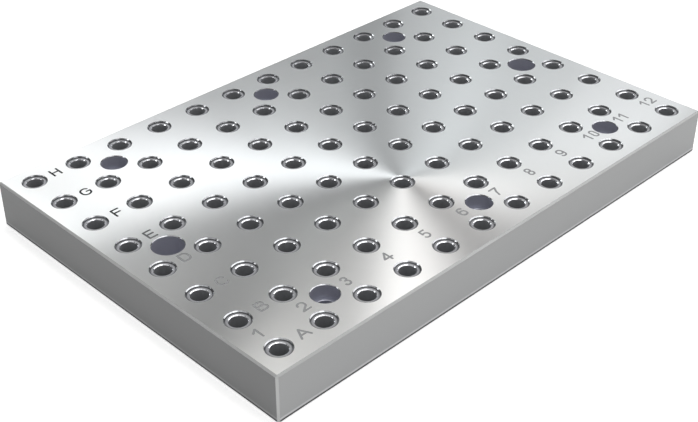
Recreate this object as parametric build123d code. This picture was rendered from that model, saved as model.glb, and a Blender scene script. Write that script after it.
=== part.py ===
from build123d import *
import math
import os

# Modular fixture plate: a ground steel slab with a square grid of locating and
# fastening holes, a hardened alignment bush pressed into every grid hole,
# counterbored holes that bolt the plate to a machine table, and two large bores
# that centre it there. Millimetres; origin at the centre of the underside,
# +X along the long side, +Y along the short side, +Z up out of the working face.

# ---- driving dimensions ----------------------------------------------------
PITCH = 50.0               # grid pitch
COLS = 12                  # grid columns, numbered 1 to 12 along +X
ROWS = 8                   # grid rows, lettered A to H along +Y
LENGTH = COLS * PITCH      # half a pitch of margin outside the last holes
WIDTH = ROWS * PITCH
THICK = 50.0
EDGE_CHAMFER = 1.8         # every outer edge and corner

SEAT_D = 23.0              # bush seat bored in the plate
SEAT_DEPTH = 20.0          # from the working face to the seat's shoulder
SEAT_CHAMFER = 0.9         # at the working face
THREAD_CORE_D = 13.84      # M16 x 2 minor diameter, tapped through below the seat
THREAD_EXIT_CHAMFER = 1.4  # at the underside

BUSH_BORE_D = 16.0         # locating bore of the bush
BUSH_RECESS = 1.4          # bush top below the working face
BUSH_BORE_CHAMFER = 0.7    # lead-in of the locating bore
BUSH_RIM_CHAMFER = 0.35    # outer edge of the bush at its top
BUSH_FOOT_CHAMFER = 1.0    # outer lead-in edge at the bush's lower end

CBORE_D = 26.0             # counterbore for a screw head
CBORE_DEPTH = 13.5
CBORE_CHAMFER = 0.6
CLEAR_D = 17.5             # clearance hole for the screw
CLEAR_EXIT_CHAMFER = 1.0
CBORE_AT = [(2.5, 0.5), (6.5, 0.5), (10.5, 0.5),
            (2.5, 6.5), (6.5, 6.5), (10.5, 6.5)]   # (column, row) in pitches, A = 0

CENTRE_D = 30.0            # centring bores, right through
CENTRE_CHAMFER = 0.65
CENTRE_AT = [(1.5, 3.5), (11.5, 3.5)]

LABEL_COL = 1.5            # row letters stand between columns 1 and 2
LABEL_ROW = 0.5            # column numbers stand between rows A and B
LABEL_HEIGHT = 11.0        # stroke centre line to stroke centre line
LABEL_BASE = -5.1          # base line below the row's or label line's centre
LABEL_STROKE = 2.0
LABEL_DEPTH = 0.3
DIGIT_ADVANCE = 9.7
LABEL_DX = {"A": 0.8, "B": 0.5, "C": -0.5, "D": -0.7, "E": -0.5, "F": -0.3, "G": -0.6,
            "H": -1.2, "1": -1.0, "2": -0.2, "3": -0.3, "4": 0.4, "5": 0.3, "6": 1.0,
            "7": 0.2, "8": 0.9, "9": 1.3, "10": 0.5, "11": 1.1, "12": 1.4}

os.makedirs("parts", exist_ok=True)


def at(col, row):
    """Plate coordinates of a grid position: column 1 to 12, row A = 0 to H = 7."""
    return (col - (COLS + 1) / 2) * PITCH, (row - (ROWS - 1) / 2) * PITCH


def turned(points):
    """A solid of revolution about Z from (radius, height) points."""
    outline = Polyline([(r, 0.0, z) for r, z in points], close=True)
    return revolve(make_face(outline), axis=Axis.Z, revolution_arc=360)


# ---- hole cutters and the bush --------------------------------------------
core = THREAD_CORE_D / 2
seat = SEAT_D / 2
shoulder = THICK - SEAT_DEPTH
grid_cutter = turned([
    (0, -1),
    (core + THREAD_EXIT_CHAMFER + 1, -1),
    (core, THREAD_EXIT_CHAMFER),
    (core, shoulder),
    (seat, shoulder),
    (seat, THICK - SEAT_CHAMFER),
    (seat + SEAT_CHAMFER + 1, THICK + 1),
    (0, THICK + 1),
])

clear = CLEAR_D / 2
cbore = CBORE_D / 2
cbore_cutter = turned([
    (0, -1),
    (clear + CLEAR_EXIT_CHAMFER + 1, -1),
    (clear, CLEAR_EXIT_CHAMFER),
    (clear, THICK - CBORE_DEPTH - 0.4),
    (clear + 0.4, THICK - CBORE_DEPTH),
    (cbore, THICK - CBORE_DEPTH),
    (cbore, THICK - CBORE_CHAMFER),
    (cbore + CBORE_CHAMFER + 1, THICK + 1),
    (0, THICK + 1),
])

centre = CENTRE_D / 2
centre_cutter = turned([
    (0, -1),
    (centre + CENTRE_CHAMFER + 1, -1),
    (centre, CENTRE_CHAMFER),
    (centre, THICK - CENTRE_CHAMFER),
    (centre + CENTRE_CHAMFER + 1, THICK + 1),
    (0, THICK + 1),
])

bore = BUSH_BORE_D / 2
bush_top = THICK - BUSH_RECESS
bush = turned([
    (bore, shoulder + BUSH_BORE_CHAMFER),
    (bore + BUSH_BORE_CHAMFER, shoulder),
    (seat - BUSH_FOOT_CHAMFER, shoulder),
    (seat, shoulder + BUSH_FOOT_CHAMFER),
    (seat, bush_top - BUSH_RIM_CHAMFER),
    (seat - BUSH_RIM_CHAMFER, bush_top),
    (bore + BUSH_BORE_CHAMFER, bush_top),
    (bore, bush_top - BUSH_BORE_CHAMFER),
])

# ---- engraved grid labels --------------------------------------------------
# Each glyph is a list of strokes on a base line at y = 0, LABEL_HEIGHT tall:
# ("L", x0, y0, x1, y1) or ("A", centre x, centre y, radius, start angle, sweep).
TOP = LABEL_HEIGHT
SIX = [("A", 3.35, 3.35, 3.35, 0, 360), ("L", 0, 3.35, 0, 7.6), ("A", 3.4, 7.6, 3.4, 180, -145)]


def half_turn(strokes, width):
    out = []
    for s in strokes:
        if s[0] == "L":
            out.append(("L", width - s[1], TOP - s[2], width - s[3], TOP - s[4]))
        else:
            out.append(("A", width - s[1], TOP - s[2], s[3], s[4] + 180, s[5]))
    return out


GLYPHS = {
    "A": [("L", 0, 0, 5.3, TOP), ("L", 5.3, TOP, 10.6, 0), ("L", 1.8, 3.7, 8.8, 3.7)],
    "B": [("L", 0, 0, 0, TOP), ("L", 0, TOP, 5.4, TOP), ("A", 5.4, 8.4, 2.6, 90, -180),
          ("L", 0, 5.8, 5.8, 5.8), ("A", 5.8, 2.9, 2.9, 90, -180), ("L", 0, 0, 5.8, 0)],
    "C": [("A", 4.9, 6.1, 4.9, 35, 145), ("L", 0, 6.1, 0, 4.9), ("A", 4.9, 4.9, 4.9, 180, 145)],
    "D": [("L", 0, 0, 0, TOP), ("L", 0, TOP, 4.3, TOP), ("A", 4.3, 6.7, 4.3, 90, -90),
          ("L", 8.6, 6.7, 8.6, 4.3), ("A", 4.3, 4.3, 4.3, 0, -90), ("L", 4.3, 0, 0, 0)],
    "E": [("L", 0, 0, 0, TOP), ("L", 0, TOP, 7.7, TOP), ("L", 0, 5.8, 7.2, 5.8), ("L", 0, 0, 8, 0)],
    "F": [("L", 0, 0, 0, TOP), ("L", 0, TOP, 7.5, TOP), ("L", 0, 5.8, 6.8, 5.8)],
    "G": [("A", 4.65, 6.35, 4.65, 40, 140), ("L", 0, 6.35, 0, 4.65), ("A", 4.65, 4.65, 4.65, 180, 180),
          ("L", 9.3, 4.65, 9.3, 5.6), ("L", 9.3, 5.6, 5.8, 5.6)],
    "H": [("L", 0, 0, 0, TOP), ("L", 7.8, 0, 7.8, TOP), ("L", 0, 5.8, 7.8, 5.8)],
    "0": [("A", 3.9, 8.3, 2.7, 0, 180), ("L", 1.2, 8.3, 1.2, 2.7), ("A", 3.9, 2.7, 2.7, 180, 180),
          ("L", 6.6, 2.7, 6.6, 8.3)],
    "1": [("L", 4.3, 0, 4.3, TOP), ("L", 4.3, TOP, 0, 7.5)],
    "2": [("A", 4.0, 7.4, 3.6, 168, -208), ("L", 6.76, 5.09, 0.2, 0), ("L", 0.2, 0, 8.1, 0)],
    "3": [("A", 3.3, 8.4, 2.6, 160, -250), ("A", 3.3, 2.9, 2.9, 90, -250)],
    "4": [("L", 6.25, 0, 6.25, TOP), ("L", 6.25, TOP, 0, 3.3), ("L", 0, 3.3, 9.0, 3.3)],
    "5": [("L", 1.0, TOP, 6.2, TOP), ("L", 1.0, TOP, 0.6, 5.9), ("A", 2.9, 3.35, 3.35, 132, -282)],
    "6": SIX,
    "7": [("L", 0, TOP, 8.1, TOP), ("L", 8.1, TOP, 4.3, 5.6), ("L", 4.3, 5.6, 2.6, 0)],
    "8": [("A", 3.45, 8.3, 2.7, 0, 360), ("A", 3.45, 2.9, 2.9, 0, 360)],
    "9": half_turn(SIX, 6.75),
}


def extent(text):
    """Lowest and highest x of a label's stroke centre lines."""
    xs = []
    for i, ch in enumerate(text):
        for s in GLYPHS[ch]:
            if s[0] == "L":
                xs += [s[1] + i * DIGIT_ADVANCE, s[3] + i * DIGIT_ADVANCE]
            else:
                for k in range(25):
                    a = math.radians(s[4] + s[5] * k / 24)
                    xs.append(s[1] + s[3] * math.cos(a) + i * DIGIT_ADVANCE)
    return min(xs), max(xs)


def stroke_face(s, dx, dy):
    """One round-ended stroke as a flat face."""
    half = LABEL_STROKE / 2
    if s[0] == "L":
        x0, y0, x1, y1 = s[1] + dx, s[2] + dy, s[3] + dx, s[4] + dy
        length = math.hypot(x1 - x0, y1 - y0)
        angle = math.degrees(math.atan2(y1 - y0, x1 - x0))
        return Pos((x0 + x1) / 2, (y0 + y1) / 2) * Rot(0, 0, angle) * SlotCenterToCenter(length, LABEL_STROKE)
    cx, cy, r, start, sweep = s[1] + dx, s[2] + dy, s[3], s[4], s[5]
    if abs(sweep) >= 360:
        return Pos(cx, cy) * (Circle(r + half) - Circle(r - half))
    if sweep < 0:
        start, sweep = start + sweep, -sweep
    a, b, m = (math.radians(v) for v in (start, start + sweep, start + sweep / 2))

    def on(radius, t):
        return (cx + radius * math.cos(t), cy + radius * math.sin(t))

    band = make_face([
        ThreePointArc(on(r + half, a), on(r + half, m), on(r + half, b)),
        Line(on(r + half, b), on(r - half, b)),
        ThreePointArc(on(r - half, b), on(r - half, m), on(r - half, a)),
        Line(on(r - half, a), on(r + half, a)),
    ])
    return band + Pos(*on(r, a)) * Circle(half) + Pos(*on(r, b)) * Circle(half)


def label_cutter(text, x, y):
    low, high = extent(text)
    dx = x + LABEL_DX[text] - (low + high) / 2
    dy = y + LABEL_BASE
    cutters = []
    for i, ch in enumerate(text):
        face = None
        for s in GLYPHS[ch]:
            piece = stroke_face(s, dx + i * DIGIT_ADVANCE, dy)
            face = piece if face is None else face + piece
        cutters.append(Pos(0, 0, THICK - LABEL_DEPTH) * extrude(face, amount=LABEL_DEPTH + 1))
    return cutters


# ---- the plate -------------------------------------------------------------
slab = Pos(0, 0, THICK / 2) * Box(LENGTH, WIDTH, THICK)
slab = chamfer(slab.edges(), EDGE_CHAMFER)

grid = [(c, r) for c in range(1, COLS + 1) for r in range(ROWS)]
cutters = [Pos(*at(c, r)) * grid_cutter for c, r in grid]
cutters += [Pos(*at(c, r)) * cbore_cutter for c, r in CBORE_AT]
cutters += [Pos(*at(c, r)) * centre_cutter for c, r in CENTRE_AT]
for r in range(ROWS):
    cutters += label_cutter("ABCDEFGH"[r], *at(LABEL_COL, r))
for c in range(1, COLS + 1):
    cutters += label_cutter(str(c), *at(c, LABEL_ROW))
plate = slab - cutters

# ---- the bushes: identical loose pieces, one in each grid hole --------------
one = bush.solids()[0]
bushes = Compound(children=[one.moved(Location((*at(c, r), 0))) for c, r in grid])

for name, shape in (("plate", plate), ("alignment_bushes", bushes)):
    shape.label = name
    solids = shape.solids()
    print(name, "solids", len(solids), "volume mm3", round(sum(s.volume for s in solids), 1),
          "box", [round(v, 3) for v in (*shape.bounding_box().min, *shape.bounding_box().max)])
    export_step(shape, f"parts/{name}.step")
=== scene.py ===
import bpy
import math
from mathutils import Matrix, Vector
from mathutils.geometry import delaunay_2d_cdt


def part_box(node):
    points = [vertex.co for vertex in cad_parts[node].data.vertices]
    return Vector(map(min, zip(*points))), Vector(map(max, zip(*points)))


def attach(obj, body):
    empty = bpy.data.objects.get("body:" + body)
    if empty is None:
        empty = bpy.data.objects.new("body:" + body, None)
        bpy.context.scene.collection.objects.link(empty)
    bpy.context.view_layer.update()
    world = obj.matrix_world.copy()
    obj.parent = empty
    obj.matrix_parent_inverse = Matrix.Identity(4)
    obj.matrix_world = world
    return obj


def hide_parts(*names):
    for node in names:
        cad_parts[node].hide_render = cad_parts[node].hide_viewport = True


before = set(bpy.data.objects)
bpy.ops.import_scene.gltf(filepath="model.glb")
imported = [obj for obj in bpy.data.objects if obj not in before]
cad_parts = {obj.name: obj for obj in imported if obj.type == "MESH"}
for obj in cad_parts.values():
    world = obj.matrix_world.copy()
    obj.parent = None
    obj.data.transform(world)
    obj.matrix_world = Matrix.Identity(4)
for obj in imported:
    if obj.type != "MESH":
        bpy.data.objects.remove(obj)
cad_low, cad_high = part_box("plate")
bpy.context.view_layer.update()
scene = bpy.context.scene
scene.view_settings.view_transform = "Standard"
scene.view_settings.look = "None"

# ---- sizes, millimetres, as in the CAD ---------------------------------------
MM = 0.001
PITCH, COLS, ROWS = 50.0, 12, 8
HALF_X, HALF_Y, THICK = cad_high.x / MM, cad_high.y / MM, (cad_high.z - cad_low.z) / MM
EDGE = 1.8
SEAT_R, SEAT_DEPTH, SEAT_CHAMFER = 11.5, 20.0, 0.9
MINOR_R, MAJOR_R, LEAD, EXIT_CHAMFER = 6.92, 8.0, 2.0, 1.4
BORE_R, RECESS, BORE_CHAMFER, RIM_CHAMFER, FOOT_CHAMFER = 8.0, 1.4, 0.7, 0.35, 1.0
CBORE_R, CBORE_DEPTH, CBORE_CHAMFER, CLEAR_R, CLEAR_EXIT = 13.0, 13.5, 0.6, 8.75, 1.0
CENTRE_R, CENTRE_CHAMFER = 15.0, 0.65
CBORE_AT = [(2.5, 0.5), (6.5, 0.5), (10.5, 0.5), (2.5, 6.5), (6.5, 6.5), (10.5, 6.5)]
CENTRE_AT = [(1.5, 3.5), (11.5, 3.5)]
SHOULDER = THICK - SEAT_DEPTH
ROUND = 60          # segments of a hole in the working face
ROUND_LOW = 20      # segments of a thread
STAR = (-19.5, -69.5)   # centre of the circular grind on the working face
LAY = 8.0               # degrees that the flanks of its grooves lean outwards


def at(col, row):
    return (col - (COLS + 1) / 2) * PITCH, (row - (ROWS - 1) / 2) * PITCH


def circle(cx, cy, r, n):
    return [(cx + r * math.cos(2 * math.pi * k / n), cy + r * math.sin(2 * math.pi * k / n)) for k in range(n)]


# ---- engraved labels: the same strokes as the CAD ----------------------------
TOP = 11.0
BASE, STROKE, LABEL_DEPTH, ADVANCE = -5.1, 2.0, 0.3, 9.7
LABEL_DX = {"A": 0.8, "B": 0.5, "C": -0.5, "D": -0.7, "E": -0.5, "F": -0.3, "G": -0.6,
            "H": -1.2, "1": -1.0, "2": -0.2, "3": -0.3, "4": 0.4, "5": 0.3, "6": 1.0,
            "7": 0.2, "8": 0.9, "9": 1.3, "10": 0.5, "11": 1.1, "12": 1.4}
SIX = [("A", 3.35, 3.35, 3.35, 0, 360), ("L", 0, 3.35, 0, 7.6), ("A", 3.4, 7.6, 3.4, 180, -145)]


def half_turn(strokes, width):
    out = []
    for s in strokes:
        if s[0] == "L":
            out.append(("L", width - s[1], TOP - s[2], width - s[3], TOP - s[4]))
        else:
            out.append(("A", width - s[1], TOP - s[2], s[3], s[4] + 180, s[5]))
    return out


GLYPHS = {
    "A": [("L", 0, 0, 5.3, TOP), ("L", 5.3, TOP, 10.6, 0), ("L", 1.8, 3.7, 8.8, 3.7)],
    "B": [("L", 0, 0, 0, TOP), ("L", 0, TOP, 5.4, TOP), ("A", 5.4, 8.4, 2.6, 90, -180),
          ("L", 0, 5.8, 5.8, 5.8), ("A", 5.8, 2.9, 2.9, 90, -180), ("L", 0, 0, 5.8, 0)],
    "C": [("A", 4.9, 6.1, 4.9, 35, 145), ("L", 0, 6.1, 0, 4.9), ("A", 4.9, 4.9, 4.9, 180, 145)],
    "D": [("L", 0, 0, 0, TOP), ("L", 0, TOP, 4.3, TOP), ("A", 4.3, 6.7, 4.3, 90, -90),
          ("L", 8.6, 6.7, 8.6, 4.3), ("A", 4.3, 4.3, 4.3, 0, -90), ("L", 4.3, 0, 0, 0)],
    "E": [("L", 0, 0, 0, TOP), ("L", 0, TOP, 7.7, TOP), ("L", 0, 5.8, 7.2, 5.8), ("L", 0, 0, 8, 0)],
    "F": [("L", 0, 0, 0, TOP), ("L", 0, TOP, 7.5, TOP), ("L", 0, 5.8, 6.8, 5.8)],
    "G": [("A", 4.65, 6.35, 4.65, 40, 140), ("L", 0, 6.35, 0, 4.65), ("A", 4.65, 4.65, 4.65, 180, 180),
          ("L", 9.3, 4.65, 9.3, 5.6), ("L", 9.3, 5.6, 5.8, 5.6)],
    "H": [("L", 0, 0, 0, TOP), ("L", 7.8, 0, 7.8, TOP), ("L", 0, 5.8, 7.8, 5.8)],
    "0": [("A", 3.9, 8.3, 2.7, 0, 180), ("L", 1.2, 8.3, 1.2, 2.7), ("A", 3.9, 2.7, 2.7, 180, 180),
          ("L", 6.6, 2.7, 6.6, 8.3)],
    "1": [("L", 4.3, 0, 4.3, TOP), ("L", 4.3, TOP, 0, 7.5)],
    "2": [("A", 4.0, 7.4, 3.6, 168, -208), ("L", 6.76, 5.09, 0.2, 0), ("L", 0.2, 0, 8.1, 0)],
    "3": [("A", 3.3, 8.4, 2.6, 160, -250), ("A", 3.3, 2.9, 2.9, 90, -250)],
    "4": [("L", 6.25, 0, 6.25, TOP), ("L", 6.25, TOP, 0, 3.3), ("L", 0, 3.3, 9.0, 3.3)],
    "5": [("L", 1.0, TOP, 6.2, TOP), ("L", 1.0, TOP, 0.6, 5.9), ("A", 2.9, 3.35, 3.35, 132, -282)],
    "6": SIX,
    "7": [("L", 0, TOP, 8.1, TOP), ("L", 8.1, TOP, 4.3, 5.6), ("L", 4.3, 5.6, 2.6, 0)],
    "8": [("A", 3.45, 8.3, 2.7, 0, 360), ("A", 3.45, 2.9, 2.9, 0, 360)],
    "9": half_turn(SIX, 6.75),
}


def stroke_polygons(s, dx, dy):
    """Counter-clockwise outlines that together cover one round-ended stroke."""
    half = STROKE / 2
    if s[0] == "L":
        x0, y0, x1, y1 = s[1] + dx, s[2] + dy, s[3] + dx, s[4] + dy
        a = math.atan2(y1 - y0, x1 - x0)
        pts = [(x1 + half * math.cos(a + math.radians(t)), y1 + half * math.sin(a + math.radians(t)))
               for t in range(-90, 91, 20)]
        pts += [(x0 + half * math.cos(a + math.radians(t)), y0 + half * math.sin(a + math.radians(t)))
                for t in range(90, 271, 20)]
        return [pts]
    cx, cy, r, start, sweep = s[1] + dx, s[2] + dy, s[3], s[4], s[5]
    if sweep < 0:
        start, sweep = start + sweep, -sweep
    n = max(4, round(sweep / 15))
    out = []
    for k in range(n):     # short sectors, so that a ring needs no hole of its own
        a, b = (math.radians(start + sweep * (k + j) / n) for j in (0, 1))
        out.append([(cx + q * math.cos(t), cy + q * math.sin(t))
                    for q, t in ((r + half, a), (r + half, b), (r - half, b), (r - half, a))])
    if sweep < 359:
        for t in (start, start + sweep):
            out.append(circle(cx + r * math.cos(math.radians(t)), cy + r * math.sin(math.radians(t)), half, 16))
    return out


def label_polygons(text, x, y):
    xs = []
    for i, ch in enumerate(text):
        for s in GLYPHS[ch]:
            if s[0] == "L":
                xs += [s[1] + i * ADVANCE, s[3] + i * ADVANCE]
            else:
                xs += [s[1] + s[3] * math.cos(math.radians(s[4] + s[5] * k / 24)) + i * ADVANCE for k in range(25)]
    dx, dy = x + LABEL_DX[text] - (min(xs) + max(xs)) / 2, y + BASE
    return [p for i, ch in enumerate(text) for s in GLYPHS[ch] for p in stroke_polygons(s, dx + i * ADVANCE, dy)]


# ---- mesh helpers --------------------------------------------------------------
class Shell:
    """Vertices, faces and material numbers of one piece, in millimetres."""

    def __init__(self):
        self.v, self.f, self.m = [], [], []
        self.index = {}

    def vert(self, x, y, z):
        key = (round(x, 4), round(y, 4), round(z, 4))
        if key not in self.index:
            self.index[key] = len(self.v)
            self.v.append((x * MM, y * MM, z * MM))
        return self.index[key]

    def face(self, ids, material):
        ids = [a for k, a in enumerate(ids) if a != ids[k - 1]]
        if len(set(ids)) >= 3:
            self.f.append(ids)
            self.m.append(material)

    def build(self, name, materials, flat_slots=(), sharp=28):
        mesh = bpy.data.meshes.new(name)
        mesh.from_pydata(self.v, [], self.f)
        for m in materials:
            mesh.materials.append(m)
        mesh.polygons.foreach_set("material_index", self.m)
        if mesh.validate():
            print("mesh", name, "had faces mended")
        mesh.shade_smooth()
        mesh.set_sharp_from_angle(angle=math.radians(sharp))
        mesh.polygons.foreach_set("use_smooth", [m not in flat_slots for m in self.m])
        mesh.update()
        o = bpy.data.objects.new(name, mesh)
        scene.collection.objects.link(o)
        return o


def turned(shell, cx, cy, profile, n, materials):
    """A surface of revolution through (radius, height) points. Walking the profile, the solid is on the left."""
    rings = [[shell.vert(cx + r * math.cos(2 * math.pi * k / n), cy + r * math.sin(2 * math.pi * k / n), z)
              for k in range(n)] for r, z in profile]
    for (a, b), m in zip(zip(rings, rings[1:]), materials):
        for k in range(n):
            j = (k + 1) % n
            shell.face([a[k], a[j], b[j], b[k]], m)


def zipper(shell, a, b, material):
    """Triangles between two columns of (vertex, height), both ordered by height; b is the next column anticlockwise."""
    i = j = 0
    while i < len(a) - 1 or j < len(b) - 1:
        if j == len(b) - 1 or (i < len(a) - 1 and a[i + 1][1] <= b[j + 1][1]):
            shell.face([a[i][0], a[i + 1][0], b[j][0]], material)
            i += 1
        else:
            shell.face([a[i][0], b[j + 1][0], b[j][0]], material)
            j += 1


def threaded(shell, cx, cy, material, chamfer_material):
    """The M16 x 2 thread below the seat: a real helix, open at the exit chamfer and at the seat's shoulder. Returns its top ring."""
    n = ROUND_LOW
    columns = []
    for k in range(n):
        u = k / n
        corners = []           # (height, radius) of crests and roots
        first = -2
        while (first + u) * LEAD < SHOULDER + 2 * LEAD:
            corners.append(((first + u) * LEAD, MINOR_R))
            corners.append(((first + u + 0.5) * LEAD, MAJOR_R))
            first += 1

        def thread_r(z):
            for (z0, r0), (z1, r1) in zip(corners, corners[1:]):
                if z0 <= z <= z1:
                    return r0 + (r1 - r0) * (z - z0) / (z1 - z0)
            return MINOR_R

        mouth = MINOR_R + EXIT_CHAMFER
        column = [(0.0, mouth)]
        # the exit chamfer's cone is r = mouth - z; the thread opens it where it is wider
        step, z, inside = 0.02, 0.0, False
        while z < EXIT_CHAMFER + 0.4:
            now = thread_r(z) > mouth - z
            if now != inside and z > 0:
                column.append((z, max(thread_r(z), mouth - z)))
                inside = now
            z += step
        first_z = column[-1][0] if inside else EXIT_CHAMFER
        for zc, rc in corners:
            if 0.05 < zc < SHOULDER - 0.02 and rc > mouth - zc + 1e-6:
                column.append((zc, rc))
        column.append((SHOULDER, thread_r(SHOULDER)))
        column = sorted(set((round(a, 4), round(b, 4)) for a, b in column))
        angle = 2 * math.pi * k / n
        columns.append([(shell.vert(cx + r * math.cos(angle), cy + r * math.sin(angle), z), z, r) for z, r in column])
    for k in range(n):
        zipper(shell, columns[k], columns[(k + 1) % n], material)
    return [c[-1][0] for c in columns]


def annulus(shell, outer, inner, material):
    """Flat faces between two rings of different counts, both anticlockwise from angle 0, seen from above."""
    n, m = len(outer), len(inner)
    i = j = 0
    while i < n or j < m:
        if j >= m or (i < n and (i + 1) / n <= (j + 1) / m):
            shell.face([outer[i % n], outer[(i + 1) % n], inner[j % m]], material)
            i += 1
        else:
            shell.face([outer[i % n], inner[(j + 1) % m], inner[j % m]], material)
            j += 1


def flat_face(shell, z, circles, polygons, up, material, floor_material=None, floor_z=None):
    """A rectangular face with round openings; polygons are sunk to floor_z with walls."""
    hx, hy = HALF_X - EDGE, HALF_Y - EDGE
    pts, exact, faces = [], [], []
    for poly in [[(-hx, -hy), (hx, -hy), (hx, hy), (-hx, hy)]] + circles + polygons:
        faces.append(list(range(len(pts), len(pts) + len(poly))))
        pts += [Vector(p) for p in poly]
        exact += poly
    found, e, f, ov, oe, of = delaunay_2d_cdt(pts, [], faces, 0, 1e-5, True)
    v = [exact[ids[0]] if ids else (q.x, q.y) for q, ids in zip(found, ov)]
    n_circles = len(circles)
    top, sunk = [], []
    for tri, src in zip(f, of):
        src = set(src)
        if 0 not in src or any(1 <= s <= n_circles for s in src):
            continue
        (sunk if any(s > n_circles for s in src) else top).append(tri)

    def emit(tris, height, m):
        for tri in tris:
            ids = [shell.vert(v[i][0], v[i][1], height) for i in tri]
            a, b, c = (shell.v[i] for i in ids)
            ccw = (b[0] - a[0]) * (c[1] - a[1]) - (b[1] - a[1]) * (c[0] - a[0]) > 0
            shell.face(ids if ccw == up else ids[::-1], m)

    emit(top, z, material)
    if sunk:
        emit(sunk, floor_z, floor_material)
        count = {}
        for tri in sunk:
            for a, b in zip(tri, tri[1:] + tri[:1]):
                count[(a, b)] = 1
        for a, b in count:
            if (b, a) not in count:      # outline of the sunk area, walked with the floor on its left
                a0, b0 = (shell.vert(v[i][0], v[i][1], floor_z) for i in (a, b))
                a1, b1 = (shell.vert(v[i][0], v[i][1], z) for i in (a, b))
                shell.face([a0, b0, b1, a1][::-1], floor_material)


# ---- materials -------------------------------------------------------------------
def new_material(name, rough, colour, aniso=0.0):
    m = bpy.data.materials.new(name)
    m.use_nodes = True
    nt = m.node_tree
    p = nt.nodes["Principled BSDF"]
    p.inputs["Metallic"].default_value = 1.0
    p.inputs["Base Color"].default_value = (*colour, 1)
    p.inputs["Roughness"].default_value = rough
    p.inputs["Anisotropic"].default_value = aniso
    return m, nt, p


def node(nt, kind, **settings):
    n = nt.nodes.new(kind)
    for k, val in settings.items():
        if isinstance(val, dict):
            for s, x in val.items():
                n.inputs[s].default_value = x
        else:
            setattr(n, k, val)
    return n


def position(nt):
    return node(nt, "ShaderNodeTexCoord").outputs["Object"]


def vector_math(nt, op, a, b=None):
    n = node(nt, "ShaderNodeVectorMath", operation=op)
    for slot_, val in ((0, a), (1, b)):
        if val is None:
            continue
        if isinstance(val, (tuple, list)):
            n.inputs[slot_].default_value = val
        else:
            nt.links.new(val, n.inputs[slot_])
    return n.outputs[0] if op not in ("LENGTH", "DOT_PRODUCT", "DISTANCE") else n.outputs["Value"]


def maths(nt, op, a, b=None, c=None, clamp=False):
    n = node(nt, "ShaderNodeMath", operation=op, use_clamp=clamp)
    for slot_, val in ((0, a), (1, b), (2, c)):
        if val is None:
            continue
        if isinstance(val, (int, float)):
            n.inputs[slot_].default_value = val
        else:
            nt.links.new(val, n.inputs[slot_])
    return n.outputs[0]


def noise(nt, vec, scale, detail=3.0, rough=0.5):
    n = node(nt, "ShaderNodeTexNoise")
    n.inputs["Scale"].default_value = scale
    n.inputs["Detail"].default_value = detail
    n.inputs["Roughness"].default_value = rough
    nt.links.new(vec, n.inputs["Vector"])
    return n.outputs["Fac"]


def spread(nt, fac, low, high):
    n = node(nt, "ShaderNodeMapRange")
    n.inputs["To Min"].default_value = low
    n.inputs["To Max"].default_value = high
    n.inputs["From Min"].default_value = 0.3
    n.inputs["From Max"].default_value = 0.7
    nt.links.new(fac, n.inputs["Value"])
    return n.outputs["Result"]


def tinted(nt, fac, dark, light, out):
    n = node(nt, "ShaderNodeMix", data_type="RGBA")
    n.inputs["A"].default_value = (*dark, 1)
    n.inputs["B"].default_value = (*light, 1)
    nt.links.new(fac, n.inputs["Factor"])
    nt.links.new(n.outputs["Result"], out)


def bump(nt, height, strength, distance, out):
    n = node(nt, "ShaderNodeBump")
    n.inputs["Strength"].default_value = strength
    n.inputs["Distance"].default_value = distance
    nt.links.new(height, n.inputs["Height"])
    nt.links.new(n.outputs["Normal"], out)


def noise_1d(nt, w, scale, detail=3.0):
    n = node(nt, "ShaderNodeTexNoise", noise_dimensions="1D")
    n.inputs["Scale"].default_value = scale
    n.inputs["Detail"].default_value = detail
    nt.links.new(w, n.inputs["W"])
    return n.outputs["Fac"]


def xyz(nt, vec):
    n = node(nt, "ShaderNodeSeparateXYZ")
    nt.links.new(vec, n.inputs[0])
    return n.outputs


def blend(nt, a, b, share):
    """a and b mixed, with the given share of b."""
    return maths(nt, "ADD", maths(nt, "MULTIPLY", a, 1.0 - share), maths(nt, "MULTIPLY", b, share))


def ramp(nt, value, start, end):
    """0 at start, 1 at end, smooth between; start may be the larger."""
    n = node(nt, "ShaderNodeMapRange", interpolation_type="SMOOTHSTEP")
    nt.links.new(value, n.inputs["Value"])
    low, high = min(start, end), max(start, end)
    n.inputs["From Min"].default_value, n.inputs["From Max"].default_value = low, high
    n.inputs["To Min"].default_value, n.inputs["To Max"].default_value = (0.0, 1.0) if start < end else (1.0, 0.0)
    return n.outputs["Result"]


def over(nt, under, share, colour):
    """A colour laid over another, by share."""
    n = node(nt, "ShaderNodeMix", data_type="RGBA")
    nt.links.new(under, n.inputs["A"])
    n.inputs["B"].default_value = (*colour, 1)
    nt.links.new(share, n.inputs["Factor"])
    return n.outputs["Result"]


def mixed(nt, fac, dark, light):
    n = node(nt, "ShaderNodeMix", data_type="RGBA")
    n.inputs["A"].default_value = (*dark, 1)
    n.inputs["B"].default_value = (*light, 1)
    nt.links.new(fac, n.inputs["Factor"])
    return n.outputs["Result"]


def from_hole(nt, here):
    """Distance from the axis of the nearest grid hole."""
    local = vector_math(nt, "SUBTRACT", vector_math(nt, "MODULO", vector_math(nt, "ADD", here, (1.0, 1.0, 0.0)),
                                                    (PITCH * MM, PITCH * MM, 1.0)), (PITCH * MM / 2, PITCH * MM / 2, 0.0))
    return vector_math(nt, "LENGTH", vector_math(nt, "MULTIPLY", local, (1.0, 1.0, 0.0)))


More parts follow.
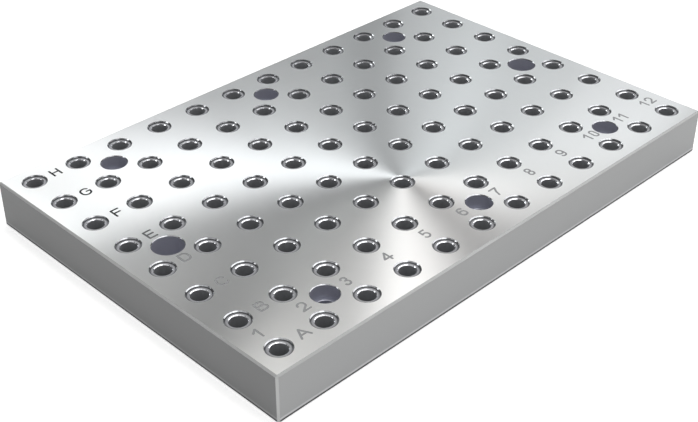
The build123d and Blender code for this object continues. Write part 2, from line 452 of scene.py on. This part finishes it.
# the working face: circular grinding lines round STAR, cut with a one-sided groove
top_m, nt, p = new_material("ground_working_face", 0.28, (0.86, 0.865, 0.87), 0.6)
here = position(nt)
flat = vector_math(nt, "MULTIPLY", vector_math(nt, "SUBTRACT", here, (STAR[0] * MM, STAR[1] * MM, 0.0)), (1.0, 1.0, 0.0))
nt.links.new(vector_math(nt, "NORMALIZE", flat), p.inputs["Tangent"])
reach = vector_math(nt, "LENGTH", flat)
round_and_out = node(nt, "ShaderNodeCombineXYZ")
nt.links.new(reach, round_and_out.inputs["X"])
turn = xyz(nt, vector_math(nt, "MULTIPLY", vector_math(nt, "NORMALIZE", flat), (0.006, 0.006, 0.0)))
nt.links.new(turn["X"], round_and_out.inputs["Y"])
nt.links.new(turn["Y"], round_and_out.inputs["Z"])
fine = noise(nt, round_and_out.outputs["Vector"], 250.0, 1.0)
broad = blend(nt, noise(nt, round_and_out.outputs["Vector"], 60.0, 1.0), noise(nt, here, 9.0, 3.0), 0.5)
nt.links.new(spread(nt, blend(nt, fine, broad, 0.7), 0.277, 0.289), p.inputs["Roughness"])
tinted(nt, blend(nt, fine, broad, 0.6), (0.845, 0.850, 0.857), (0.879, 0.884, 0.888), p.inputs["Base Color"])
# each groove has a wide flank that leans outwards
lean = maths(nt, "MULTIPLY", reach, -math.tan(math.radians(LAY)))
bump(nt, lean, 1.0, 1.0, p.inputs["Normal"])

# the sides: fine lines along the length; the ends' colour is painted darker than the long sides' as shade
def side_finish(name, k):
    m, nt, p = new_material(name, 0.45, (0.245 * k, 0.248 * k, 0.250 * k), 0.5)
    here = position(nt)
    p.inputs["Tangent"].default_value = (0.0, 0.0, 1.0)
    fine = noise(nt, vector_math(nt, "MULTIPLY", here, (14.0, 14.0, 1500.0)), 1.0, 4.0)
    broad = noise(nt, vector_math(nt, "MULTIPLY", here, (1.0, 1.0, 3.0)), 11.0, 3.0)
    nt.links.new(spread(nt, blend(nt, fine, broad, 0.5), 0.41, 0.49), p.inputs["Roughness"])
    # the lower edge gets a painted highlight band, with a painted contact shadow below that
    height = maths(nt, "MULTIPLY_ADD", noise(nt, here, 40.0, 3.0), -0.0006, xyz(nt, here)["Z"])
    steel = mixed(nt, blend(nt, fine, broad, 0.5), (0.227 * k, 0.230 * k, 0.232 * k), (0.263 * k, 0.266 * k, 0.268 * k))
    painted_highlight = maths(nt, "MULTIPLY", ramp(nt, height, 0.0060, 0.0048), 0.65)
    painted_shade = maths(nt, "MULTIPLY", ramp(nt, height, 0.0037, 0.0031), 0.95)
    steel_with_painted_highlight = over(nt, steel, painted_highlight, (0.43 * k, 0.435 * k, 0.44 * k))
    nt.links.new(over(nt, steel_with_painted_highlight, painted_shade, (0.03, 0.03, 0.032)), p.inputs["Base Color"])
    bump(nt, fine, 0.3, 0.00001, p.inputs["Normal"])
    return m


# the long sides and the ends are lit and shaded copies of one finish: the factor paints the long sides lighter and the
# ends darker
side_m = side_finish("milled_sides", 1.18)
end_m = side_finish("milled_ends", 0.65)


# the chamfered outer edges, cut after grinding: the ends' are broken by hand and duller, and their colour is painted
# lighter as light
def chamfer_finish(name, metal, rough, base):
    m, nt, p = new_material(name, sum(rough) / 2, (base, base * 1.01, base * 1.01))
    p.inputs["Metallic"].default_value = metal
    here = position(nt)
    fine = noise(nt, vector_math(nt, "MULTIPLY", here, (30.0, 30.0, 1200.0)), 1.0, 4.0)
    nt.links.new(spread(nt, fine, *rough), p.inputs["Roughness"])
    tinted(nt, noise(nt, here, 60.0, 3.0), (base * 0.95, base * 0.96, base * 0.96), (base * 1.05, base * 1.06, base * 1.06), p.inputs["Base Color"])
    bump(nt, fine, 0.25, 0.00001, p.inputs["Normal"])
    return m


edge_m = chamfer_finish("chamfered_edges", 0.85, (0.34, 0.42), 0.36)
end_edge_m = chamfer_finish("chamfered_end_edges", 0.5, (0.36, 0.46), 0.47)

# the bottom chamfers: as the others, with a painted contact shadow along the lower rim
foot_m, nt, p = new_material("bottom_chamfers", 0.5, (0.40, 0.405, 0.405))
p.inputs["Metallic"].default_value = 0.4
here = position(nt)
uneven = noise(nt, here, 90.0, 4.0)
# painted contact shadow: the chamfer's colour turns dark below about 0.8 mm
line = node(nt, "ShaderNodeMapRange", **{"interpolation_type": "SMOOTHSTEP"})
nt.links.new(maths(nt, "MULTIPLY_ADD", uneven, -0.0004, xyz(nt, here)["Z"]), line.inputs["Value"])
line.inputs["From Min"].default_value = 0.0005
line.inputs["From Max"].default_value = 0.0008
nt.links.new(spread(nt, uneven, 0.47, 0.57), p.inputs["Roughness"])
tinted(nt, line.outputs["Result"], (0.045, 0.045, 0.045), (0.45, 0.455, 0.455), p.inputs["Base Color"])
bump(nt, noise(nt, vector_math(nt, "MULTIPLY", here, (30.0, 30.0, 1200.0)), 1.0, 4.0), 0.25, 0.00001, p.inputs["Normal"])


def turned_finish(nt, p, here, rough, dark, light, depth=0.000008, scale=3500.0):
    """Rings round an upright axis, with a little unevenness."""
    rings = noise_1d(nt, xyz(nt, here)["Z"], scale, 4.0)
    uneven = noise(nt, here, 240.0, 3.0)
    nt.links.new(spread(nt, blend(nt, rings, uneven, 0.5), *rough), p.inputs["Roughness"])
    tinted(nt, blend(nt, rings, uneven, 0.5), dark, light, p.inputs["Base Color"])
    bump(nt, rings, 0.4, depth, p.inputs["Normal"])


hole_m, nt, p = new_material("hole_mouths", 0.18, (0.41, 0.42, 0.435))
turned_finish(nt, p, position(nt), (0.15, 0.21), (0.38, 0.39, 0.405), (0.44, 0.45, 0.465))
# the walls of the large holes: their purple tint is a painted reflection colour
wall_m, nt, p = new_material("hole_walls", 0.6, (0.415, 0.42, 0.485), 0.5)
p.inputs["Metallic"].default_value = 0.6
p.inputs["Tangent"].default_value = (0.0, 0.0, 1.0)
turned_finish(nt, p, position(nt), (0.56, 0.66), (0.39, 0.395, 0.46), (0.44, 0.445, 0.51))

# the seats and threads: cut metal, its colour painted dark as shade inside the holes
seat_m, nt, p = new_material("seats_and_threads", 0.5, (0.15, 0.15, 0.165))
p.inputs["Metallic"].default_value = 0.8
turned_finish(nt, p, position(nt), (0.46, 0.56), (0.12, 0.12, 0.135), (0.18, 0.18, 0.195))

# the counterbore floors: rings round the screw hole, which is half a pitch off the grid; their purple tint is a painted
# reflection colour
step_m, nt, p = new_material("counterbore_floors", 0.42, (0.57, 0.58, 0.64))
here = position(nt)
rings = noise_1d(nt, from_hole(nt, vector_math(nt, "ADD", here, (PITCH * MM / 2, PITCH * MM / 2, 0.0))), 3200.0, 4.0)
nt.links.new(spread(nt, rings, 0.38, 0.46), p.inputs["Roughness"])
tinted(nt, blend(nt, rings, noise(nt, here, 200.0, 3.0), 0.5), (0.54, 0.55, 0.61), (0.60, 0.61, 0.67), p.inputs["Base Color"])
bump(nt, rings, 0.4, 0.000008, p.inputs["Normal"])

label_m, nt, p = new_material("engraved_floor", 0.8, (0.24, 0.245, 0.255))
p.inputs["Metallic"].default_value = 0.0
p.inputs["Specular IOR Level"].default_value = 0.2
here = position(nt)
grain = noise(nt, here, 2500.0, 3.0)
nt.links.new(spread(nt, grain, 0.72, 0.88), p.inputs["Roughness"])
# the engraved floor is darker towards the far rows and lighter towards the near corner
label_tone = mixed(nt, blend(nt, grain, noise(nt, here, 150.0, 3.0), 0.5), (0.290, 0.295, 0.305), (0.345, 0.350, 0.360))
far_rows_share = ramp(nt, xyz(nt, here)["Y"], -0.045, 0.075)
nt.links.new(over(nt, label_tone, far_rows_share, (0.03, 0.031, 0.034)), p.inputs["Base Color"])
bump(nt, grain, 0.4, 0.00002, p.inputs["Normal"])

# the underside: straight grinding lines along the length
bottom_m, nt, p = new_material("ground_underside", 0.38, (0.62, 0.63, 0.64), 0.7)
here = position(nt)
p.inputs["Tangent"].default_value = (0.0, 1.0, 0.0)
fine = noise(nt, vector_math(nt, "MULTIPLY", here, (10.0, 1500.0, 1.0)), 1.0, 4.0)
broad = noise(nt, vector_math(nt, "MULTIPLY", here, (1.0, 6.0, 1.0)), 8.0, 3.0)
nt.links.new(spread(nt, blend(nt, fine, broad, 0.5), 0.34, 0.42), p.inputs["Roughness"])
tinted(nt, blend(nt, fine, broad, 0.5), (0.585, 0.595, 0.605), (0.655, 0.665, 0.675), p.inputs["Base Color"])
bump(nt, fine, 0.3, 0.00001, p.inputs["Normal"])

# the bushes: ground rings on top, a honed bore, polished lips; each bush a shade of its own
bush_m, nt, p = new_material("bush_ground", 0.42, (0.385, 0.39, 0.41))
p.inputs["Metallic"].default_value = 0.7
here = position(nt)
radial = maths(nt, "ADD", from_hole(nt, here), xyz(nt, here)["Z"])
rings = noise_1d(nt, radial, 4200.0, 4.0)
shade = node(nt, "ShaderNodeTexWhiteNoise", noise_dimensions="3D")
nt.links.new(vector_math(nt, "FLOOR", vector_math(nt, "MULTIPLY", here, (1 / (PITCH * MM), 1 / (PITCH * MM), 0.0))), shade.inputs["Vector"])
each = maths(nt, "MULTIPLY_ADD", shade.outputs["Value"], 0.4, 0.3)
nt.links.new(spread(nt, rings, 0.38, 0.46), p.inputs["Roughness"])
# painted shade in the corner with the seat, a painted highlight at the inner edge
steel = mixed(nt, blend(nt, rings, each, 0.5), (0.36, 0.365, 0.385), (0.41, 0.415, 0.435))
across = from_hole(nt, here)
painted_highlight = maths(nt, "MULTIPLY", ramp(nt, across, 0.0098, 0.0088), 0.7)
painted_shade = maths(nt, "MULTIPLY", ramp(nt, across, 0.0100, 0.0112), 0.8)
nt.links.new(over(nt, over(nt, steel, painted_highlight, (0.52, 0.52, 0.55)), painted_shade, (0.05, 0.05, 0.06)), p.inputs["Base Color"])
bump(nt, rings, 0.4, 0.000008, p.inputs["Normal"])

bush_in_m, nt, p = new_material("bush_bore", 0.46, (0.58, 0.59, 0.61), 0.8)
p.inputs["Metallic"].default_value = 0.8
p.inputs["Tangent"].default_value = (0.0, 0.0, 1.0)
turned_finish(nt, p, position(nt), (0.43, 0.49), (0.55, 0.56, 0.58), (0.61, 0.62, 0.64), 0.000006, 5200.0)

bush_lip_m, nt, p = new_material("bush_lips", 0.18, (0.75, 0.76, 0.79))
turned_finish(nt, p, position(nt), (0.15, 0.21), (0.72, 0.73, 0.76), (0.78, 0.79, 0.82))
PLATE_MATS = [top_m, side_m, edge_m, hole_m, wall_m, label_m, bottom_m, step_m, foot_m, seat_m, end_m, end_edge_m]
M_TOP, M_SIDE, M_EDGE, M_MOUTH, M_WALL, M_LABEL, M_BOTTOM, M_STEP, M_FOOT, M_SEAT, M_END, M_END_EDGE = range(12)

# ---- the plate ---------------------------------------------------------------------
plate = Shell()
grid = [at(c, r) for c in range(1, COLS + 1) for r in range(ROWS)]
cbores = [at(c, r) for c, r in CBORE_AT]
centres = [at(c, r) for c, r in CENTRE_AT]
labels = []
for r in range(ROWS):
    labels += label_polygons("ABCDEFGH"[r], *at(1.5, r))
for c in range(1, COLS + 1):
    labels += label_polygons(str(c), *at(c, 0.5))
flat_face(plate, THICK,
          [circle(x, y, SEAT_R + SEAT_CHAMFER, ROUND) for x, y in grid]
          + [circle(x, y, CBORE_R + CBORE_CHAMFER, ROUND) for x, y in cbores]
          + [circle(x, y, CENTRE_R + CENTRE_CHAMFER, ROUND) for x, y in centres],
          labels, True, M_TOP, M_LABEL, THICK - LABEL_DEPTH)
flat_face(plate, 0.0,
          [circle(x, y, MINOR_R + EXIT_CHAMFER, ROUND_LOW) for x, y in grid]
          + [circle(x, y, CLEAR_R + CLEAR_EXIT, ROUND) for x, y in cbores]
          + [circle(x, y, CENTRE_R + CENTRE_CHAMFER, ROUND) for x, y in centres],
          [], False, M_BOTTOM)
for x, y in grid:
    turned(plate, x, y, [(SEAT_R, SHOULDER), (SEAT_R, THICK - SEAT_CHAMFER), (SEAT_R + SEAT_CHAMFER, THICK)][::-1],
           ROUND, [M_MOUTH, M_SEAT])
    ring = threaded(plate, x, y, M_SEAT, M_MOUTH)
    outer = [plate.vert(x + SEAT_R * math.cos(2 * math.pi * k / ROUND), y + SEAT_R * math.sin(2 * math.pi * k / ROUND), SHOULDER)
             for k in range(ROUND)]
    annulus(plate, outer, ring, M_SEAT)
for x, y in cbores:
    floor_z = THICK - CBORE_DEPTH
    turned(plate, x, y, [(CBORE_R + CBORE_CHAMFER, THICK), (CBORE_R, THICK - CBORE_CHAMFER), (CBORE_R, floor_z),
                         (CLEAR_R + 0.4, floor_z), (CLEAR_R, floor_z - 0.4), (CLEAR_R, CLEAR_EXIT), (CLEAR_R + CLEAR_EXIT, 0)],
           ROUND, [M_MOUTH, M_WALL, M_STEP, M_STEP, M_WALL, M_MOUTH])
for x, y in centres:
    turned(plate, x, y, [(CENTRE_R + CENTRE_CHAMFER, THICK), (CENTRE_R, THICK - CENTRE_CHAMFER),
                         (CENTRE_R, CENTRE_CHAMFER), (CENTRE_R + CENTRE_CHAMFER, 0)],
           ROUND, [M_MOUTH, M_WALL, M_MOUTH])
# outer faces and chamfers
bx, by, e = HALF_X, HALF_Y, EDGE
for s in (-1, 1):
    # long faces at y = s * by, short faces at x = s * bx
    q = [plate.vert(-bx + e, s * by, e), plate.vert(bx - e, s * by, e), plate.vert(bx - e, s * by, THICK - e), plate.vert(-bx + e, s * by, THICK - e)]
    plate.face(q if s < 0 else q[::-1], M_SIDE)
    q = [plate.vert(s * bx, -by + e, e), plate.vert(s * bx, by - e, e), plate.vert(s * bx, by - e, THICK - e), plate.vert(s * bx, -by + e, THICK - e)]
    plate.face(q if s > 0 else q[::-1], M_END)
    for zf, zs in ((THICK, THICK - e), (0.0, e)):
        q = [plate.vert(-bx + e, s * by, zs), plate.vert(bx - e, s * by, zs), plate.vert(bx - e, s * (by - e), zf), plate.vert(-bx + e, s * (by - e), zf)]
        plate.face(q if (s < 0) == (zf > 0) else q[::-1], M_EDGE if zf else M_FOOT)
        q = [plate.vert(s * bx, -by + e, zs), plate.vert(s * bx, by - e, zs), plate.vert(s * (bx - e), by - e, zf), plate.vert(s * (bx - e), -by + e, zf)]
        plate.face(q if (s > 0) == (zf > 0) else q[::-1], M_END_EDGE if zf else M_FOOT)
    for t in (-1, 1):
        q = [plate.vert(s * bx, t * (by - e), e), plate.vert(s * (bx - e), t * by, e), plate.vert(s * (bx - e), t * by, THICK - e), plate.vert(s * bx, t * (by - e), THICK - e)]
        plate.face(q if s * t > 0 else q[::-1], M_EDGE)
        for zf, zs in ((THICK, THICK - e), (0.0, e)):
            q = [plate.vert(s * bx, t * (by - e), zs), plate.vert(s * (bx - e), t * by, zs), plate.vert(s * (bx - e), t * (by - e), zf)]
            plate.face(q if (s * t > 0) == (zf > 0) else q[::-1], M_END_EDGE if zf else M_FOOT)
plate_o = plate.build("plate_body", PLATE_MATS, (M_TOP, M_SIDE, M_EDGE, M_LABEL, M_BOTTOM, M_FOOT, M_END, M_END_EDGE))

# ---- the bushes ----------------------------------------------------------------------
bush = Shell()
bush_top = THICK - RECESS
for x, y in grid:
    turned(bush, x, y, [(SEAT_R, SHOULDER + FOOT_CHAMFER), (SEAT_R, bush_top - RIM_CHAMFER), (SEAT_R - RIM_CHAMFER, bush_top),
                        (BORE_R + BORE_CHAMFER, bush_top), (BORE_R, bush_top - BORE_CHAMFER), (BORE_R, SHOULDER + BORE_CHAMFER),
                        (BORE_R + BORE_CHAMFER, SHOULDER), (SEAT_R - FOOT_CHAMFER, SHOULDER), (SEAT_R, SHOULDER + FOOT_CHAMFER)],
           ROUND, [0, 0, 0, 2, 1, 2, 0, 0])
bush_o = bush.build("bushes", [bush_m, bush_in_m, bush_lip_m])

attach(plate_o, "root")
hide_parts("plate")
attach(bush_o, "root")
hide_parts("alignment_bushes")

# ---- camera, floor, light ---------------------------------------------------------------
cam_data = bpy.data.cameras.new("camera")
cam_data.lens = 64.72
cam_data.sensor_width = 36.0
cam_data.shift_x = -0.0043
cam_data.shift_y = 0.0007
cam_data.clip_start = 0.05
cam = bpy.data.objects.new("camera", cam_data)
cam.location = (-0.77844, -0.76406, 0.69364)
cam.rotation_euler = (math.radians(56.3947), math.radians(0.0386), math.radians(-44.8595))
scene.collection.objects.link(cam)
scene.camera = cam

bpy.ops.mesh.primitive_plane_add(size=12.0)
floor = bpy.context.object
floor.location.z = -0.0001
floor.name = "floor"
floor_mat = bpy.data.materials.new("pale_floor")
floor_mat.use_nodes = True
b = floor_mat.node_tree.nodes["Principled BSDF"]
b.inputs["Base Color"].default_value = (0.95, 0.95, 0.95, 1)
b.inputs["Roughness"].default_value = 0.9
b.inputs["Specular IOR Level"].default_value = 0.0
b.inputs["Emission Color"].default_value = (1, 1, 1, 1)
b.inputs["Emission Strength"].default_value = 0.5
floor.data.materials.append(floor_mat)

world = bpy.data.worlds.new("studio")
world.use_nodes = True
world.node_tree.nodes["Background"].inputs["Color"].default_value = (1, 1, 1, 1)
world.node_tree.nodes["Background"].inputs["Strength"].default_value = 0.14
scene.world = world

LIGHTS = [  # azimuth, elevation, distance, side, radiance by channel
    (18.6, 16, 1.8, 0.36, (0.708, 0.731, 0.742)), (31, 16, 1.8, 0.36, (0.419, 0.453, 0.464)),
    (43.4, 16, 1.8, 0.36, (0.264, 0.289, 0.298)), (80.7, 16, 1.8, 0.36, (1.88, 1.89, 1.88)),
    (13.3, 26, 1.8, 0.36, (0.468, 0.472, 0.458)), (53.3, 26, 1.8, 0.36, (1.72, 1.79, 1.81)),
    (66.7, 26, 1.8, 0.36, (1.74, 1.79, 1.81)), (93.3, 26, 1.8, 0.36, (5.47, 5.64, 5.59)),
    (22.5, 36, 1.8, 0.36, (1.18, 1.17, 1.15)), (85.7, 46, 1.8, 0.36, (0.486, 0.486, 0.469)),
    (33.8, 58, 1.8, 0.36, (1.68, 1.64, 1.6)), (100, 72, 1.8, 0.36, (4.45, 4.38, 4.2)),
    (0, 86, 1.8, 0.36, (14.2, 14, 13.5)), (28, 30, 1.8, 0.2, (1.27, 1.3, 1.26)),
    (28, 42, 1.8, 0.2, (1.45, 1.38, 1.32)), (36, 18, 1.8, 0.2, (0.683, 0.738, 0.75)),
    (44, 48, 1.8, 0.2, (2.19, 2.22, 2.19)), (60, 48, 1.8, 0.2, (0.84, 0.879, 0.854)),
    (76, 30, 1.8, 0.2, (2.45, 2.48, 2.47)), (27.7, 16, 1.8, 0.95, (0.285, 0.296, 0.3)),
    (240, 52, 1.6, 0.6, (2, 2, 2)), (264, 50, 1.6, 0.6, (2, 2, 2)), (290, 43, 1.6, 0.6, (2, 2, 2)),
    (314, 33, 1.6, 0.6, (2, 2, 2)), (337, 22, 1.6, 0.6, (2, 2, 2)), (137, 34, 1.6, 0.35, (4, 4, 4)),
    (225, 32, 1.8, 1.3, (0.8, 0.8, 0.8)), (180, 32, 1.8, 1.1, (0.7, 0.7, 0.7)), (330, 40, 1.8, 1, (0.5, 0.5, 0.5))]


def softbox(name, az, el, distance, side, radiance):
    strength = max(radiance)
    d = bpy.data.lights.new(name, "AREA")
    d.shape = "SQUARE"
    d.size = side
    d.energy = strength * math.pi * side * side
    d.color = [c / strength for c in radiance]
    o = bpy.data.objects.new(name, d)
    a, e_ = math.radians(az), math.radians(el)
    direction = Vector((math.cos(a) * math.cos(e_), math.sin(a) * math.cos(e_), math.sin(e_)))
    o.location = direction * distance + Vector((0, 0, 0.05))
    o.rotation_euler = direction.to_track_quat("Z", "Y").to_euler()
    o.visible_camera = False
    scene.collection.objects.link(o)
    return o


for i, light in enumerate(LIGHTS):
    softbox(f"softbox_{i}", *light)
